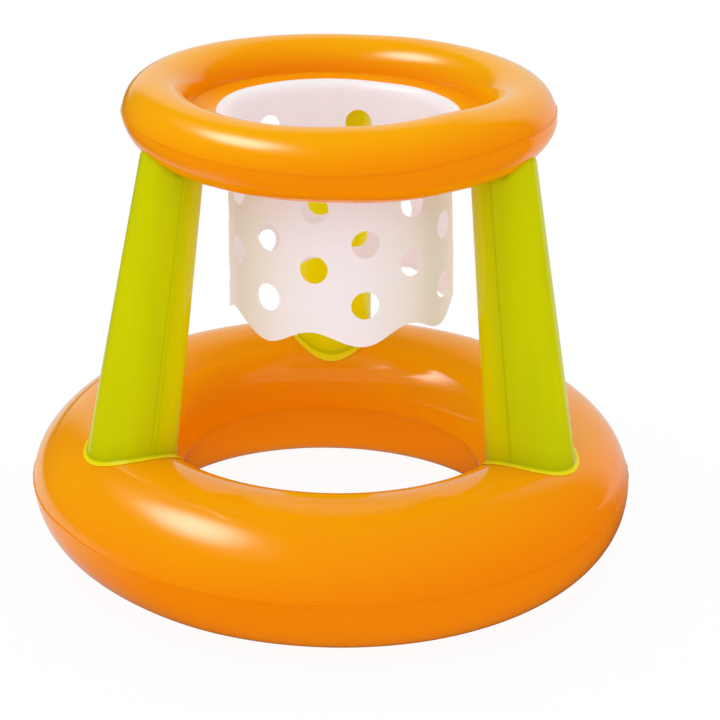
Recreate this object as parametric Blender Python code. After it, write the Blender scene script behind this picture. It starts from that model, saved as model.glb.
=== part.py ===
# Floating basketball hoop, inflated: two vinyl film rings joined by three tube legs, with a film net.
# Metres, +Z up. The origin is on the floor, under the centre of the base ring.

import math

import bmesh
import bpy
from mathutils import Matrix, Vector

# Film and clearances
FILM = 0.0003  # the vinyl sheet that every soft piece is cut from
GAP = 0.0003  # kept between neighbouring solids
WELD_STACK = GAP / 2 + FILM  # from a seam's middle to the outer face of one welded margin

# Base ring, the one that floats
BASE = {
    "radius": 0.2515,  # to the centre line of the tube
    "half_width": 0.081,
    "half_height": 0.0805,
    "centre_height": 0.0805,
    "corners": 16,
    "segments": 64,
    "outer_root": 0.3325,
    "outer_edge": 0.335,
    "inner_root": 0.1700,
    "inner_edge": 0.1675,
}

# Hoop ring, the one that the net hangs in
HOOP = {
    "radius": 0.194,
    "half_width": 0.0365,
    "half_height": 0.038,
    "centre_height": 0.496,
    "corners": 12,
    "segments": 48,
    "outer_root": 0.2305,
    "outer_edge": 0.2325,
    "inner_root": 0.1520,
    "inner_edge": 0.1300,  # a wide margin, because the net is welded into it
}

# Legs
LEG_BEARINGS = {"left": 209.2, "right": 331.5, "rear": 91.6}  # degrees from +X
LEG_FOOT_AT = 0.243  # distance of the foot's centre from the middle
LEG_TOP_AT = 0.1946
LEG_FOOT_HEIGHT = 0.150
LEG_TOP_HEIGHT = 0.470
LEG_FOOT_RADIUS = 0.0477
LEG_TOP_RADIUS = 0.0348
LEG_OVERRUN = 0.022  # how far the wall runs on past each end before the rings trim it
LEG_SIDES = 24
LIP_RADIUS = 0.0525  # outer edge of the weld lip round the foot
PATCH_LIFT = GAP
LIP_LIFT = PATCH_LIFT + FILM + GAP
TOP_LIFT = GAP
AIR_HOLE_RADIUS = 0.014  # lets the hoop ring's air into a leg

# Net
NET_RIM_RADIUS = 0.1485  # the rim lies between the hoop ring's two inner margins
NET_MOUTH_RADIUS = 0.1285
NET_WALL_RADIUS = 0.1190
NET_BEND_DROP = 0.0120
NET_HEM_HEIGHT = 0.2827  # middle of the scallops
NET_STRAIGHT_TO = 0.3020
NET_SCALLOPS = 7
NET_SCALLOP_DEPTH = 0.0085  # either way from the middle
NET_SEGMENTS = 56
NET_FIRST_COLUMN = -78.0  # bearing of the low column of holes nearest the front
NET_HOLE_RADIUS = 0.0150
NET_HOLE_SIDES = 12
NET_LOW_HOLES = (0.3165, 0.3830, 0.4490)  # heights of the holes in every other column
NET_HIGH_HOLES = (0.3555, 0.4205)
NET_SWAY = 0.048  # the net hangs plumb while the float leans, so it drifts along +X as it goes down

# Valves: lengths along the valve's axis are counted outwards from the ring's skin
VALVES = {
    "base": {"ring": BASE, "segment": 10, "corner": 1},
    "hoop": {"ring": HOOP, "segment": 8, "corner": 1},
}
SKIN_HOLE_RADIUS = 0.0058
COLLAR_RADIUS = 0.0140
COLLAR_BORE_RADIUS = 0.0060
COLLAR_THICKNESS = 0.0008
STEM_RADIUS = 0.0050
STEM_BORE_RADIUS = 0.0033
STEM_LENGTH = 0.0130
STEM_FOOT_RADIUS = 0.0056
STEM_FOOT_THICKNESS = 0.0010
RIM_RADIUS = 0.0062
RIM_FROM = 0.0006
RIM_TO = 0.0016
PLUG_SHANK_RADIUS = 0.0029
PLUG_SHANK_LENGTH = 0.0080
PLUG_CAP_RADIUS = 0.0052
PLUG_CAP_FROM = RIM_TO + GAP
PLUG_CAP_THICKNESS = 0.0016
PLUG_CHAMFER = 0.0006
STRAP_WIDTH = 0.0040
STRAP_THICKNESS = 0.0008
STRAP_REACH = 0.0120
STRAP_BEND_STEPS = 6
FLAP_RADIUS = 0.0045
FLAP_THICKNESS = 0.0005
VALVE_SIDES = 20

FULL_TURN = 2 * math.pi


def material(name, colour, roughness):
    made = bpy.data.materials.new(name)
    made.use_nodes = True
    shader = made.node_tree.nodes["Principled BSDF"]
    shader.inputs["Base Color"].default_value = (*colour, 1.0)
    shader.inputs["Roughness"].default_value = roughness
    shader.inputs["Metallic"].default_value = 0.0
    return made


def add_object(name, bm, finish, smooth_angle=40.0):
    mesh = bpy.data.meshes.new(name)
    bm.to_mesh(mesh)
    bm.free()
    made = bpy.data.objects.new(name, mesh)
    bpy.context.scene.collection.objects.link(made)
    if finish:
        mesh.materials.append(finish)
    mesh.shade_smooth()
    mesh.set_sharp_from_angle(angle=math.radians(smooth_angle))
    return made


def hide_as_tool(made):
    made.hide_render = True
    made.display_type = "WIRE"
    return made


def lathe(bm, points, sides, closed, place=None):
    # Turns (radius, height) points round Z. A run that climbs has its faces outwards.
    start = len(bm.verts)
    rings = []
    for radius, height in points:
        if radius == 0.0:
            rings.append([bm.verts.new((0.0, 0.0, height))] * sides)
            continue
        ring = []
        for side in range(sides):
            angle = FULL_TURN * side / sides
            ring.append(bm.verts.new((radius * math.cos(angle), radius * math.sin(angle), height)))
        rings.append(ring)
    pairs = list(zip(rings, rings[1:]))
    if closed:
        pairs.append((rings[-1], rings[0]))
    for low, high in pairs:
        for side in range(sides):
            after = (side + 1) % sides
            corners = []
            for vert in (low[side], low[after], high[after], high[side]):
                if vert not in corners:
                    corners.append(vert)
            if len(corners) > 2:
                bm.faces.new(corners)
    if place:
        bm.verts.ensure_lookup_table()
        bmesh.ops.transform(bm, matrix=place, verts=bm.verts[start:])
    return rings


def cylinder_points(radius, low, high):
    return [(0.0, low), (radius, low), (radius, high), (0.0, high)]


def turned(name, points, sides, finish, closed=True, place=None):
    bm = bmesh.new()
    lathe(bm, points, sides, closed, place)
    return add_object(name, bm, finish)


def tube_corner(ring, index, lift=0.0):
    # One corner of the ring's tube, as (radius, height). The flats between corners touch its real size.
    step = FULL_TURN / ring["corners"]
    angle = step * (index + 0.5)
    spread = 1.0 / math.cos(step / 2)
    width = (ring["half_width"] + lift) * spread
    height = (ring["half_height"] + lift) * spread
    return ring["radius"] + width * math.cos(angle), ring["centre_height"] + height * math.sin(angle)


def corners_between(ring, first, last, lift=0.0):
    return [tube_corner(ring, index, lift) for index in range(first, last)]


def upper_skin_points(ring, inner_stack):
    seam = ring["centre_height"]
    points = [(ring["outer_edge"], seam + WELD_STACK), (ring["outer_root"], seam + WELD_STACK)]
    points += corners_between(ring, 0, ring["corners"] // 2)
    points += [(ring["inner_root"], seam + inner_stack), (ring["inner_edge"], seam + inner_stack)]
    return points


def lower_skin_points(ring, inner_stack):
    seam = ring["centre_height"]
    points = [(ring["inner_edge"], seam - inner_stack), (ring["inner_root"], seam - inner_stack)]
    points += corners_between(ring, ring["corners"] // 2, ring["corners"])
    points += [(ring["outer_root"], seam - WELD_STACK), (ring["outer_edge"], seam - WELD_STACK)]
    return points


def thicken(made):
    solidify = made.modifiers.new("film", "SOLIDIFY")
    solidify.thickness = FILM
    solidify.offset = -1.0
    solidify.use_even_offset = True


def boolean(made, tool, operation):
    step = made.modifiers.new(tool.name, "BOOLEAN")
    step.operation = operation
    step.object = tool
    step.solver = "EXACT"


def skin(name, ring, points, finish):
    made = turned(name, points, ring["segments"], finish, closed=False)
    thicken(made)
    return made


def ring_volume(name, ring, lift):
    points = corners_between(ring, 0, ring["corners"], lift)
    return hide_as_tool(turned(name, points, ring["segments"], None))


def skin_layer(name, ring, first, last, low, high, finish=None):
    # A strip of sheet that follows the ring's flats, between two heights over its skin
    points = corners_between(ring, first, last, high)
    points += reversed(corners_between(ring, first, last, low))
    return turned(name, points, ring["segments"], finish)


def leg_place(bearing):
    # Origin at the centre of the foot, Z up the leg, X away from the middle of the float
    angle = math.radians(bearing)
    out = Vector((math.cos(angle), math.sin(angle), 0.0))
    foot = out * LEG_FOOT_AT + Vector((0.0, 0.0, LEG_FOOT_HEIGHT))
    top = out * LEG_TOP_AT + Vector((0.0, 0.0, LEG_TOP_HEIGHT))
    along = (top - foot).normalized()
    across = along.cross(out).normalized()
    outward = across.cross(along)
    turn = Matrix((outward, across, along)).transposed().to_4x4()
    return Matrix.Translation(foot) @ turn, (top - foot).length


def upright_at(bearing, distance):
    angle = math.radians(bearing)
    place = Vector((distance * math.cos(angle), distance * math.sin(angle), 0.0))
    return Matrix.Translation(place) @ Matrix.Rotation(angle, 4, "Z")


def add_leg(side, bearing, trims, finish):
    place, length = leg_place(bearing)
    slope = (LEG_TOP_RADIUS - LEG_FOOT_RADIUS) / length
    wall = [
        (LEG_FOOT_RADIUS - slope * LEG_OVERRUN, -LEG_OVERRUN),
        (LEG_FOOT_RADIUS + slope * length / 2, length / 2),
        (LEG_TOP_RADIUS + slope * LEG_OVERRUN, length + LEG_OVERRUN),
    ]
    sleeve = turned(f"{side}_leg_sleeve", wall, LEG_SIDES, finish, closed=False, place=place)
    thicken(sleeve)
    for trim in trims:
        boolean(sleeve, trim, "DIFFERENCE")

    # The weld lip: the sheet round the foot, turned out over the base ring
    top_corners = BASE["corners"] // 2
    pipe = [
        (LIP_RADIUS, 0.0),
        (LIP_RADIUS, LEG_TOP_HEIGHT),
        (LEG_FOOT_RADIUS - 3 * FILM, LEG_TOP_HEIGHT),
        (LEG_FOOT_RADIUS - 3 * FILM, 0.0),
    ]
    cutter = turned(f"{side}_lip_cutter", pipe, LEG_SIDES, None, place=upright_at(bearing, LEG_FOOT_AT))
    lip = skin_layer(f"{side}_lip", BASE, 0, top_corners, LIP_LIFT, LIP_LIFT + 2 * FILM)
    boolean(lip, hide_as_tool(cutter), "INTERSECT")
    boolean(sleeve, hide_as_tool(lip), "UNION")

    # The patch that closes the foot, welded to the base ring's skin
    disc = cylinder_points(LIP_RADIUS, 0.0, LEG_TOP_HEIGHT)
    foot = upright_at(bearing, LEG_FOOT_AT)
    punch = turned(f"{side}_patch_cutter", disc, LEG_SIDES, None, closed=False, place=foot)
    patch = skin_layer(
        f"{side}_leg_foot_patch", BASE, 0, top_corners, PATCH_LIFT, PATCH_LIFT + FILM, finish
    )
    boolean(patch, hide_as_tool(punch), "INTERSECT")


def add_air_holes():
    bm = bmesh.new()
    drill = cylinder_points(AIR_HOLE_RADIUS, 0.0, HOOP["centre_height"])
    for bearing in LEG_BEARINGS.values():
        lathe(bm, drill, VALVE_SIDES, False, upright_at(bearing, HOOP["radius"]))
    return hide_as_tool(add_object("air_holes", bm, None))


def net_wall_shift(height):
    return NET_SWAY * (HOOP["centre_height"] - height)


def add_net(finish):
    rim = HOOP["centre_height"] - FILM / 2  # the underside of the rim
    bend = rim - NET_BEND_DROP
    inset = NET_MOUTH_RADIUS - NET_WALL_RADIUS
    halfway = math.cos(math.pi / 4)
    # Listed upwards, so that the faces point away from the net's middle and down under its rim
    points = [
        (NET_WALL_RADIUS, NET_HEM_HEIGHT),
        (NET_WALL_RADIUS, NET_STRAIGHT_TO),
        (NET_WALL_RADIUS, bend),
        (NET_MOUTH_RADIUS - inset * halfway, bend + NET_BEND_DROP * halfway),
        (NET_MOUTH_RADIUS, rim),
        (NET_RIM_RADIUS, rim),
    ]
    bm = bmesh.new()
    rings = lathe(bm, points, NET_SEGMENTS, False)
    for ring in rings[:-2]:
        for vert in ring:
            bearing = math.degrees(math.atan2(vert.co.y, vert.co.x))
            if ring is rings[0]:
                phase = math.radians(NET_SCALLOPS * (bearing - NET_FIRST_COLUMN))
                vert.co.z -= NET_SCALLOP_DEPTH * math.cos(phase)
            vert.co.x += net_wall_shift(vert.co.z)
    bmesh.ops.triangulate(bm, faces=bm.faces[:])
    net = add_object("net", bm, finish)
    thicken(net)
    boolean(net, add_net_punches(), "DIFFERENCE")


def add_net_punches():
    bm = bmesh.new()
    depth = 2 * (NET_RIM_RADIUS - NET_WALL_RADIUS)
    start = NET_WALL_RADIUS - depth / 2
    punch = cylinder_points(NET_HOLE_RADIUS, 0.0, depth)
    columns = 2 * NET_SCALLOPS
    for column in range(columns):
        bearing = math.radians(NET_FIRST_COLUMN + column * 360.0 / columns)
        heights = NET_HIGH_HOLES if column % 2 else NET_LOW_HOLES
        turn = Matrix.Rotation(bearing, 4, "Z") @ Matrix.Rotation(math.pi / 2, 4, "Y")
        for height in heights:
            at = Vector((start * math.cos(bearing), start * math.sin(bearing), height))
            at.x += net_wall_shift(height)
            lathe(bm, punch, NET_HOLE_SIDES, False, Matrix.Translation(at) @ turn)
    return hide_as_tool(add_object("net_punches", bm, None))


def valve_place(valve):
    # Origin on the middle of one flat of the ring's skin, Z outwards, X along the ring
    ring = valve["ring"]
    half_segment = math.pi / ring["segments"]
    shrink = math.cos(half_segment)
    low = tube_corner(ring, valve["corner"] - 1)
    high = tube_corner(ring, valve["corner"])
    middle = Vector(((low[0] + high[0]) / 2 * shrink, 0.0, (low[1] + high[1]) / 2))
    up = Vector(((high[0] - low[0]) * shrink, 0.0, high[1] - low[1])).normalized()
    along = Vector((0.0, 1.0, 0.0))
    out = along.cross(up)
    turn = Matrix((along, up, out)).transposed().to_4x4()
    bearing = half_segment * (2 * valve["segment"] + 1)
    return Matrix.Rotation(bearing, 4, "Z") @ Matrix.Translation(middle) @ turn


def add_valve(name, valve, skin_object, film, moulded):
    place = valve_place(valve)
    skin_drill = cylinder_points(SKIN_HOLE_RADIUS, -STEM_LENGTH, STEM_LENGTH)
    drill = turned(f"{name}_valve_drill", skin_drill, VALVE_SIDES, None, closed=False, place=place)
    boolean(skin_object, hide_as_tool(drill), "DIFFERENCE")

    add_collar(name, valve["ring"], place, moulded)

    stem = [
        (STEM_FOOT_RADIUS, -STEM_LENGTH),
        (STEM_FOOT_RADIUS, -STEM_LENGTH + STEM_FOOT_THICKNESS),
        (STEM_RADIUS, -STEM_LENGTH + STEM_FOOT_THICKNESS),
        (STEM_RADIUS, RIM_FROM),
        (RIM_RADIUS, RIM_FROM),
        (RIM_RADIUS, RIM_TO),
        (STEM_BORE_RADIUS, RIM_TO),
        (STEM_BORE_RADIUS, -STEM_LENGTH),
    ]
    turned(f"{name}_valve_stem", stem, VALVE_SIDES, moulded, place=place)

    cap_top = PLUG_CAP_FROM + PLUG_CAP_THICKNESS
    shank_end = PLUG_CAP_FROM - PLUG_SHANK_LENGTH
    plug = [
        (0.0, shank_end),
        (PLUG_SHANK_RADIUS - PLUG_CHAMFER, shank_end),
        (PLUG_SHANK_RADIUS, shank_end + PLUG_CHAMFER),
        (PLUG_SHANK_RADIUS, PLUG_CAP_FROM),
        (PLUG_CAP_RADIUS, PLUG_CAP_FROM),
        (PLUG_CAP_RADIUS, cap_top - PLUG_CHAMFER),
        (PLUG_CAP_RADIUS - PLUG_CHAMFER, cap_top),
        (0.0, cap_top),
    ]
    turned(f"{name}_valve_plug", plug, VALVE_SIDES, moulded, closed=False, place=place)
    add_strap(name, place, moulded)

    flap_top = -STEM_LENGTH - GAP
    flap = cylinder_points(FLAP_RADIUS, flap_top - FLAP_THICKNESS, flap_top)
    turned(f"{name}_valve_flap", flap, VALVE_SIDES, film, closed=False, place=place)


def add_collar(name, ring, place, finish):
    # The collar is a patch of moulded sheet that follows the underside of the skin
    top = -FILM - GAP
    last = ring["corners"] // 2
    collar = skin_layer(f"{name}_valve_collar", ring, 0, last, top - COLLAR_THICKNESS, top, finish)
    reach = COLLAR_RADIUS / 2
    pipe = [
        (COLLAR_RADIUS, -reach),
        (COLLAR_RADIUS, reach),
        (COLLAR_BORE_RADIUS, reach),
        (COLLAR_BORE_RADIUS, -reach),
    ]
    cutter = turned(f"{name}_collar_cutter", pipe, VALVE_SIDES, None, place=place)
    boolean(collar, hide_as_tool(cutter), "INTERSECT")


def add_strap(name, place, finish):
    # A flat ribbon bent into a U beside the valve, from the stem's rim round to the plug's cap
    low = (RIM_FROM + RIM_TO) / 2
    high = PLUG_CAP_FROM + PLUG_CAP_THICKNESS / 2
    middle = (low + high) / 2
    bend = (high - low) / 2
    turn_at = STRAP_REACH - bend
    half = STRAP_THICKNESS / 2
    route = [(RIM_RADIUS + GAP, low), (turn_at, low)]
    for step in range(1, STRAP_BEND_STEPS):
        angle = -math.pi / 2 + math.pi * step / STRAP_BEND_STEPS
        route.append((turn_at + bend * math.cos(angle), middle + bend * math.sin(angle)))
    route += [(turn_at, high), (PLUG_CAP_RADIUS + GAP, high)]
    outer = offset_run(route, half)
    inner = offset_run(route, -half)
    outline = outer + inner[::-1]
    bm = bmesh.new()
    rows = []
    for across in (-STRAP_WIDTH / 2, STRAP_WIDTH / 2):
        rows.append([bm.verts.new((reach, across, height)) for reach, height in outline])
    near, far = rows
    count = len(route)
    for index in range(len(outline)):
        after = (index + 1) % len(outline)
        bm.faces.new((near[index], near[after], far[after], far[index]))
    for index in range(count - 1):
        mirror = len(outline) - 1 - index
        bm.faces.new((near[index + 1], near[index], near[mirror], near[mirror - 1]))
        bm.faces.new((far[index], far[index + 1], far[mirror - 1], far[mirror]))
    bmesh.ops.recalc_face_normals(bm, faces=bm.faces[:])
    bmesh.ops.transform(bm, matrix=place, verts=bm.verts[:])
    add_object(f"{name}_valve_strap", bm, finish)


def offset_run(route, distance):
    moved = []
    for index, (reach, height) in enumerate(route):
        before = route[max(index - 1, 0)]
        after = route[min(index + 1, len(route) - 1)]
        run = Vector((after[0] - before[0], after[1] - before[1])).normalized()
        moved.append((reach + run.y * distance, height - run.x * distance))
    return moved


def main():
    for old in list(bpy.data.objects):
        bpy.data.objects.remove(old)
    orange = material("orange_film", (0.90, 0.27, 0.008), 0.22)
    green = material("green_film", (0.56, 0.55, 0.003), 0.24)
    milky = material("milky_film", (0.80, 0.70, 0.66), 0.35)
    moulded = material("clear_moulding", (0.78, 0.78, 0.74), 0.30)

    net_stack = 1.5 * FILM + GAP  # the net's rim lies between the hoop ring's inner margins
    base_upper = skin("base_ring_upper_skin", BASE, upper_skin_points(BASE, WELD_STACK), orange)
    skin("base_ring_lower_skin", BASE, lower_skin_points(BASE, WELD_STACK), orange)
    hoop_upper = skin("hoop_ring_upper_skin", HOOP, upper_skin_points(HOOP, net_stack), orange)
    hoop_lower = skin("hoop_ring_lower_skin", HOOP, lower_skin_points(HOOP, net_stack), orange)
    boolean(hoop_lower, add_air_holes(), "DIFFERENCE")

    trims = [
        ring_volume("foot_trim", BASE, LIP_LIFT + FILM / 2),
        ring_volume("top_trim", HOOP, TOP_LIFT),
    ]
    for side, bearing in LEG_BEARINGS.items():
        add_leg(side, bearing, trims, green)
    add_net(milky)
    add_valve("base", VALVES["base"], base_upper, milky, moulded)
    add_valve("hoop", VALVES["hoop"], hoop_upper, milky, moulded)


main()
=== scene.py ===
# Floating basketball hoop: two welded vinyl rings, three tube legs and a hung film net.
# Metres, +Z up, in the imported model's own frame.

from functools import lru_cache
from math import acos, atan2, copysign, cos, degrees, exp, hypot, pi, radians, sin, sqrt

import bmesh
import bpy
from mathutils import Matrix, Vector


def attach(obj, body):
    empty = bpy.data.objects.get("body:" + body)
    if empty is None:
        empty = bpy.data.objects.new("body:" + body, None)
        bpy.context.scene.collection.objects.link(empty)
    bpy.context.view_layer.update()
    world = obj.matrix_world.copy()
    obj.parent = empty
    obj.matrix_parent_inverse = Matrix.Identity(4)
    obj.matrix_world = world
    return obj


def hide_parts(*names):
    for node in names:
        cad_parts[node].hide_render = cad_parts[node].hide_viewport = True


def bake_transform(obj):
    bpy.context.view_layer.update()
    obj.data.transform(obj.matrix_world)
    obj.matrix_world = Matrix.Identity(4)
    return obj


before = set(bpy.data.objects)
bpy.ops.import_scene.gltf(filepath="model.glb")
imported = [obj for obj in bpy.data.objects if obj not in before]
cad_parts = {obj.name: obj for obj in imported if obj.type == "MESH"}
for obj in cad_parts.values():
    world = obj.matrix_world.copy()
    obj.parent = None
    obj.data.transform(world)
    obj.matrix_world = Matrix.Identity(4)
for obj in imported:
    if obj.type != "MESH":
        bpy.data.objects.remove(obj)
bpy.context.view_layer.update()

# Shared facts of the film
film = {
    "thickness": 0.0003,
    "stack": 0.00033,  # middle of an outer seam to the top of one welded margin
    "netStack": 0.00075,  # the same where the net's rim lies between the margins
    "merge": 0.00001,  # points closer than this become one
}


def ease(value, low, high):
    share = min(1.0, max(0.0, (value - low) / (high - low)))
    return share * share * (3 - 2 * share)


def bearingOf(across, deep):
    # Rounded a little, so that the points of one column share their bearing
    return round(degrees(atan2(deep, across)), 3)


def wrapped(angle):
    return (angle + 180.0) % 360.0 - 180.0


def hump(away, width):
    # A smooth hump of height 1
    return exp(-(away / width) ** 2)


def fullFrom(least, share):
    # Grows from its least value to 1
    return least + (1.0 - least) * share


@lru_cache(maxsize=None)
def alongPath(path, bearing):
    # Smooth value of a closed path of (bearing, value) points
    first = path[0][0]
    turned = first + (bearing - first) % 360.0
    closed = path + ((first + 360.0, path[0][1]),)
    for (low, lowValue), (high, highValue) in zip(closed, closed[1:]):
        if turned <= high:
            return lowValue + (highValue - lowValue) * ease(turned, low, high)
    return closed[-1][1]


@lru_cache(maxsize=None)
def ripple(bearing, waves):
    # Sum of (count round the ring, phase, size): small unevenness that closes on itself
    return sum(size * sin(radians(count * bearing) + phase) for count, phase, size in waves)


def clearSelection():
    if bpy.context.object and bpy.context.object.mode != "OBJECT":
        bpy.ops.object.mode_set(mode="OBJECT")
    bpy.ops.object.select_all(action="DESELECT")


def choose(piece):
    clearSelection()
    bpy.context.view_layer.objects.active = piece
    piece.select_set(True)


def editMode(piece):
    choose(piece)
    bpy.ops.object.mode_set(mode="EDIT")


def editAll(piece):
    editMode(piece)
    bpy.ops.mesh.select_all(action="SELECT")


def objectMode():
    bpy.ops.object.mode_set(mode="OBJECT")


def pick(piece, kind, test):
    # Selects the vertices, edges or faces whose middle passes the test
    bpy.ops.mesh.select_mode(type={"verts": "VERT", "edges": "EDGE", "faces": "FACE"}[kind])
    bpy.ops.mesh.select_all(action="DESELECT")
    mesh = bmesh.from_edit_mesh(piece.data)
    for part in getattr(mesh, kind):
        if kind == "verts":
            middle = part.co
        elif kind == "edges":
            middle = (part.verts[0].co + part.verts[1].co) / 2
        else:
            middle = part.calc_center_median()
        if test(middle):
            part.select_set(True)
    mesh.select_flush_mode()
    bmesh.update_edit_mesh(piece.data)


def nameActive(name):
    piece = bpy.context.object
    piece.name = name
    piece.data.name = name
    return piece


def applyPlace(piece):
    choose(piece)
    bpy.ops.object.transform_apply(location=True, rotation=True, scale=True)


def applyModifiers(piece):
    choose(piece)
    for modifier in list(piece.modifiers):
        bpy.ops.object.modifier_apply(modifier=modifier.name)


def thicken(piece, thickness, offset=-1.0):
    solidify = piece.modifiers.new("film", "SOLIDIFY")
    solidify.thickness = thickness
    solidify.offset = offset
    solidify.use_even_offset = False
    applyModifiers(piece)


def roundEdges(piece, width, angle):
    bevel = piece.modifiers.new("roundedEdges", "BEVEL")
    bevel.width = width
    bevel.segments = 3
    bevel.limit_method = "ANGLE"
    bevel.angle_limit = radians(angle)
    applyModifiers(piece)


def punch(piece, tool):
    step = piece.modifiers.new("hole", "BOOLEAN")
    step.operation = "DIFFERENCE"
    step.object = tool
    step.solver = "EXACT"
    applyModifiers(piece)
    bpy.data.objects.remove(tool)


def smooth(piece, angle=40.0):
    choose(piece)
    bpy.ops.object.shade_smooth_by_angle(angle=radians(angle))


def outwards(piece, probe, normalWanted):
    # Open shells: recalculates the normals, and turns them all if the one nearest the probe is wrong
    editAll(piece)
    bpy.ops.mesh.normals_make_consistent(inside=False)
    objectMode()
    nearest = min(piece.data.polygons, key=lambda face: (face.center - Vector(probe)).length_squared)
    if nearest.normal.dot(Vector(normalWanted)) < 0:
        editAll(piece)
        bpy.ops.mesh.flip_normals()
        objectMode()


def writeAttribute(piece, name, values):
    attribute = piece.data.attributes.new(name, "FLOAT", "POINT")
    attribute.data.foreach_set("value", values)


def drawCircle(name, sides, radius, place=(0.0, 0.0, 0.0), turn=(0.0, 0.0, 0.0), filled=False):
    # A new piece begins as a circle, open in edit mode with all of it selected
    clearSelection()
    bpy.ops.mesh.primitive_circle_add(vertices=sides, radius=radius, location=place, rotation=turn,
                                      fill_type="NGON" if filled else "NOTHING")
    piece = nameActive(name)
    applyPlace(piece)
    editAll(piece)
    return piece


def drawOn(share, middle, rise=0.0):
    # Extrudes the selected loop upwards, to a share of its size
    bpy.ops.mesh.extrude_region_move(TRANSFORM_OT_translate={"value": (0.0, 0.0, rise)})
    bpy.ops.transform.resize(value=(share, share, 1.0), center_override=middle)


def rolledSheet(name, columns, rows):
    # A sheet rolled into a tube, drawn up row by row: gives the piece, and the column and row of each point
    radius, step = 0.05, 0.008
    piece = drawCircle(name, columns, radius)
    for row in range(rows - 1):
        bpy.ops.mesh.extrude_region_move(TRANSFORM_OT_translate={"value": (0.0, 0.0, step)})
    objectMode()
    places = []
    for vert in piece.data.vertices:
        column = round(degrees(atan2(vert.co.y, vert.co.x)) * columns / 360.0) % columns
        places.append((column, round(vert.co.z / step)))
    return piece, places


def lappedColumns(count, middle, edge, lap, inner):
    # Bearings of a rolled sheet's columns, the first ones across its lapped weld, and which are raised
    angles = [0.0] + [edge + lap * step / (inner + 1) for step in range(inner + 2)] + [2 * edge + lap]
    raised = [0.0] + [1.0] * (inner + 2) + [0.0] * (count - inner - 3)
    rest = count - len(angles) + 1
    angles += [angles[-1] + (360.0 - angles[-1]) * step / rest for step in range(1, rest)]
    return [middle - lap / 2 + angle for angle in angles], raised


def stand(piece, body, slotName, material, *nodes):
    # Hands a finished piece over: its material, the body it rides on and the CAD nodes it stands for
    piece.data.materials.clear()
    piece.data.materials.append(material)
    if body:
        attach(piece, body)
    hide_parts(*nodes)


# Materials

def link(tree, fromSocket, toSocket):
    tree.links.new(fromSocket, toSocket)


def addNode(tree, kind, settings=None, inputs=None):
    node = tree.nodes.new(kind)
    for key, value in (settings or {}).items():
        setattr(node, key, value)
    for key, value in (inputs or {}).items():
        if hasattr(value, "is_linked"):
            link(tree, value, node.inputs[key])
        else:
            node.inputs[key].default_value = value
    return node


def mathNode(tree, operation, first, second=0.0):
    return addNode(tree, "ShaderNodeMath", {"operation": operation}, {0: first, 1: second}).outputs[0]


def mapNode(tree, value, low, high, toLow, toHigh):
    return addNode(
        tree, "ShaderNodeMapRange", {"interpolation_type": "SMOOTHSTEP"},
        {"Value": value, "From Min": low, "From Max": high, "To Min": toLow, "To Max": toHigh},
    ).outputs["Result"]


def maskNode(tree, name):
    return addNode(tree, "ShaderNodeAttribute", {"attribute_name": name}).outputs["Fac"]


def dotNode(tree, first, second):
    node = addNode(tree, "ShaderNodeVectorMath", {"operation": "DOT_PRODUCT"}, {0: first, 1: second})
    return node.outputs["Value"]


def mixColours(tree, share, first, second):
    # A colour is a socket or three values
    given = [value if hasattr(value, "is_linked") else (*value, 1.0) for value in (first, second)]
    node = addNode(tree, "ShaderNodeMix", {"data_type": "RGBA"}, {0: share, 6: given[0], 7: given[1]})
    return node.outputs[2]


grain = {
    "cloudDetail": (2.0, 0.45),  # detail and roughness of the noise
    "cloudFrom": (0.3, 0.7),
    "fineDetail": (3.0, 0.6),
    "gatherDetail": (2.0, 0.5),
    "streakSize": 38.0,  # handling scuffs
    "streakDetail": (4.0, 0.7, 0.8),  # and how far it is distorted
    "scuffFrom": (0.58, 0.74),
    "scuffDepth": 0.035,  # how much rougher a scuff is
    "gatherStretch": 8.0,
    "sheenRoughness": 0.40,
    "refraction": 1.4,
}


def noiseNode(tree, vector, size, detail, roughness, distortion=0.0):
    return addNode(tree, "ShaderNodeTexNoise", None,
                   {"Vector": vector, "Scale": size, "Detail": detail, "Roughness": roughness,
                    "Distortion": distortion}).outputs["Fac"]


def buildFilmGroup():
    # What every piece of vinyl film shares: cloudy dye, faint calender grain and handling scuffs
    group = bpy.data.node_groups.new("vinylFilm", "ShaderNodeTree")
    for name, kind in (("Vector", "NodeSocketVector"), ("Cloud Size", "NodeSocketFloat"),
                       ("Grain Size", "NodeSocketFloat")):
        group.interface.new_socket(name=name, in_out="INPUT", socket_type=kind)
    for name in ("Cloud", "Grain", "Scuff"):
        group.interface.new_socket(name=name, in_out="OUTPUT", socket_type="NodeSocketFloat")
    given = addNode(group, "NodeGroupInput").outputs
    result = addNode(group, "NodeGroupOutput").inputs
    cloud = noiseNode(group, given["Vector"], given["Cloud Size"], *grain["cloudDetail"])
    fine = noiseNode(group, given["Vector"], given["Grain Size"], *grain["fineDetail"])
    streaks = noiseNode(group, given["Vector"], grain["streakSize"], *grain["streakDetail"])
    link(group, mapNode(group, cloud, *grain["cloudFrom"], 0.0, 1.0), result["Cloud"])
    link(group, fine, result["Grain"])
    link(group, mapNode(group, streaks, *grain["scuffFrom"], 0.0, 1.0), result["Scuff"])
    return group


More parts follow.
